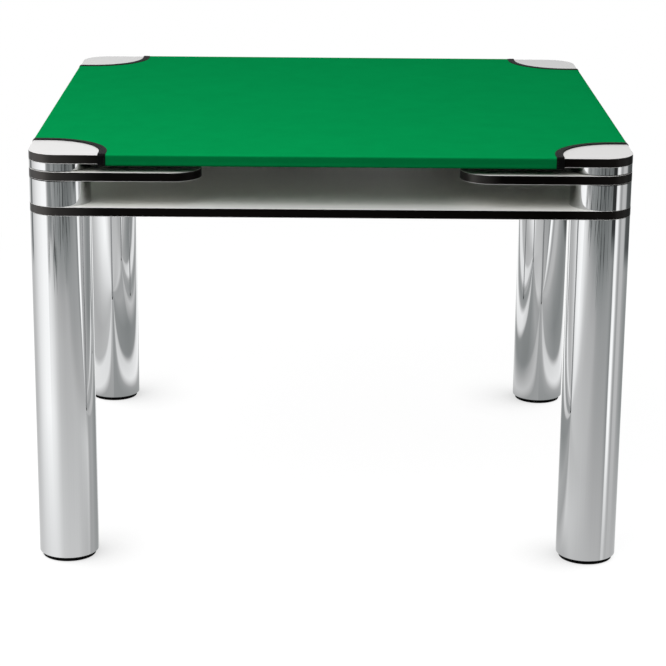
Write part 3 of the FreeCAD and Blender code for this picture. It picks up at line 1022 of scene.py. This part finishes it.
def surround_surface(tree):
    """What polished metal mirrors: a white studio with a dark far floor, soft gaps and a few smeared edges."""
    where = axes(place(tree))
    ahead = where["Y"] * -1.0
    from_leg = ahead - LEG_FROM_MIDDLE
    round_leg = []
    for side, points, facing, (foot, foot_share, under, under_from), bay_width, post, post_depth in LEG_SIDES:
        across = where["X"] - side * LEG_FROM_MIDDLE
        apart = (across * across + from_leg * from_leg).calc("SQRT")
        # close to the leg, a mirrored line of sight starts at the tube's skin and not at its middle
        bearing = across.calc("ARCTAN2", from_leg).calc("DEGREES")
        bend = (LEG_RADIUS / apart).least(1.0)
        off_view = (bearing - facing) * (bend + 1.0)
        swing = (bend * (off_view * 0.5).calc("RADIANS").calc("SINE")).calc("ARCSINE")
        bearing = bearing + swing.calc("DEGREES")
        reach = apart - LEG_RADIUS
        # smeared dark edges that run away from the leg, beyond a distance
        spot = joined(tree, bearing * 0.23, reach * 0.8, side * 3.7)
        streak = noise_value(spot, 1.0, 4.0, 0.62).remap(0.55, 0.62)
        beyond = noise_value(spot, 2.3, 2.0).calc("MULTIPLY_ADD", 0.9, reach).eased(2.15, 2.6)
        streaks = streak * beyond * abs(bearing + 5.0).eased(43.0, 41.0)
        # a dark far bay beside the table, a little behind it, and a dark post far in front
        bay = abs(bearing * side - 131.0).remap(bay_width + 3.0, bay_width - 3.0)
        bay = bay * reach.eased(1.9, 2.2)
        stands = abs(bearing - post).remap(9.0, 6.0) * reach.eased(2.1, 2.4)
        dark = (streaks * 0.9).most(bay * 0.72).most(stands * post_depth)
        # by the foot the floor is evenly pale, less so under the table
        pale = (bearing * -side).remap(under_from, under_from + 35.0, foot, foot * under)
        level = mix(reach.remap(0.05, 0.8, foot_share, 1.0), pale, curve_of(bearing, -180, 180, points))
        round_leg.append(level * (1.0 - dark))
        if side < 0:
            open_left = bearing.remap(-49.0, -50.5)
    level = mix(where["X"].eased(0.1, 0.5), *round_leg)
    level = level * curve_of(ahead, 0.5, 4.0, AHEAD).most(open_left)
    half = abs(where["X"]).most(abs(where["Y"]))
    level = level * half.eased(0.35, 0.5, 0.95, 1.0)
    # the walls are darker than the floor, except high up, where they are evenly lit
    level = level * where["Z"].remap(0.05, 0.3, 1.0, 0.55)
    level = mix(where["Z"].eased(0.9, 1.3), level, HIGH_UP)
    cool = mix_colours(level.remap(0.2, 0.7), (0.93, 1.0, 1.0, 1), (0.997, 1.0, 1.0, 1))
    return glow(tree, level, cool)


def world_surface(fill, tree):
    """White to the eye and in mirrors. The light itself comes from the ceiling, the sides and behind."""
    path = add(tree, "LightPath").outputs
    seen = path["Is Camera Ray"].most(path["Is Glossy Ray"].most(path["Is Transmission Ray"]))
    toward = axes(add(tree, "TexCoord", output="Generated"))
    ceiling = toward["Z"].remap(0.52, 0.9) * fill
    left, right, behind = (
        toward[axis].eased(start, full, 0.0, strength) for axis, start, full, strength in SIDE_LIGHTS)
    weaker = (right + behind) * toward["Z"].remap(0.2, 0.5)
    even = glow(tree, ceiling + (left + weaker), kind="Background")
    return add(tree, "MixShader", {0: seen, 1: even, 2: glow(tree, 1.0, kind="Background")})


def place_camera(studio):
    """A long lens in front of the table, a little above it."""
    data = bpy.data.cameras.new("view_camera")
    data.sensor_width = 36.0
    data.lens = studio.lens
    data.clip_end = 100.0
    camera = link(bpy.data.objects.new("view_camera", data))
    turns = ((-studio.yaw, "Z"), (math.pi / 2 - studio.pitch, "X"), (-studio.roll, "Z"))
    yaw, pitch, roll = (Matrix.Rotation(turn, 4, axis) for turn, axis in turns)
    camera.matrix_world = Matrix.Translation(CAMERA_AT) @ yaw @ pitch @ roll
    bpy.context.scene.camera = camera


class TABLE_OT_studio(bpy.types.Operator):
    """Set up the pale floor, the soft overhead light, the surround and the camera"""

    bl_idname = "table.studio"
    bl_label = "Studio"

    def execute(self, context):
        studio = context.scene.table_studio
        context.scene.view_settings.view_transform = "Standard"
        square("floor", FLOOR_HALF, 0, new_material("pale_floor", floor_surface)).visible_glossy = False

        around = circle(SURROUND_RADIUS, SURROUND_SIDES)
        points = [(*at, level) for level in (-SURROUND_HEIGHT, SURROUND_HEIGHT) for at in around]
        low, high = ([first + index for index in range(SURROUND_SIDES)] for first in (0, SURROUND_SIDES))
        mirrored = new_material("studio_surround", surround_surface)
        only_for_gloss(stage_object("studio_surround", points, list(bridged(low, high)), mirrored))
        only_for_gloss(square("studio_floor", SURROUND_RADIUS, MM, mirrored))

        lamp = bpy.data.lights.new("softbox", "AREA")
        lamp.shape = "SQUARE"
        lamp.size = SOFTBOX_SIZE
        lamp.energy = studio.lamp_power
        softbox = link(bpy.data.objects.new("softbox", lamp))
        softbox.location = SOFTBOX_AT
        softbox.rotation_euler = (SOFTBOX_AIM - SOFTBOX_AT).to_track_quat("-Z", "Y").to_euler()

        context.scene.world = surfaced(
            bpy.data.worlds.new("studio"), "ShaderNodeOutputWorld", partial(world_surface, studio.fill))
        place_camera(studio)
        return {"FINISHED"}


class TABLE_PT_panel(bpy.types.Panel):
    """Lists the table's parts in the 3D view's sidebar"""

    bl_label = "Card Table"
    bl_idname = "TABLE_PT_panel"
    bl_space_type = "VIEW_3D"
    bl_region_type = "UI"
    bl_category = "Card Table"

    def draw(self, context):
        layout = self.layout
        for name, group in GROUPS.items():
            box = layout.box()
            for setting in group.__annotations__:
                box.prop(getattr(context.scene, name), setting)
        for operator in OPERATORS:
            layout.operator(operator.bl_idname)


GROUPS = {
    "table_cover": CoverSizes,
    "table_binding": BindingSizes,
    "table_finishes": Finishes,
    "table_studio": StudioSettings,
}
OPERATORS = [
    TABLE_OT_studio, TABLE_OT_cover, TABLE_OT_bindings, TABLE_OT_boards, TABLE_OT_trays, TABLE_OT_legs,
    TABLE_OT_fixings,
]


def register():
    for cls in [*GROUPS.values(), *OPERATORS, TABLE_PT_panel]:
        bpy.utils.register_class(cls)
    for name, cls in GROUPS.items():
        setattr(bpy.types.Scene, name, PointerProperty(type=cls))


def unregister():
    for name in GROUPS:
        delattr(bpy.types.Scene, name)
    for cls in reversed([*GROUPS.values(), *OPERATORS, TABLE_PT_panel]):
        bpy.utils.unregister_class(cls)


def main():
    register()
    for operator in OPERATORS:
        group, name = operator.bl_idname.split(".")
        getattr(getattr(bpy.ops, group), name)()
    bpy.context.view_layer.update()


if __name__ == "__main__":
    main()
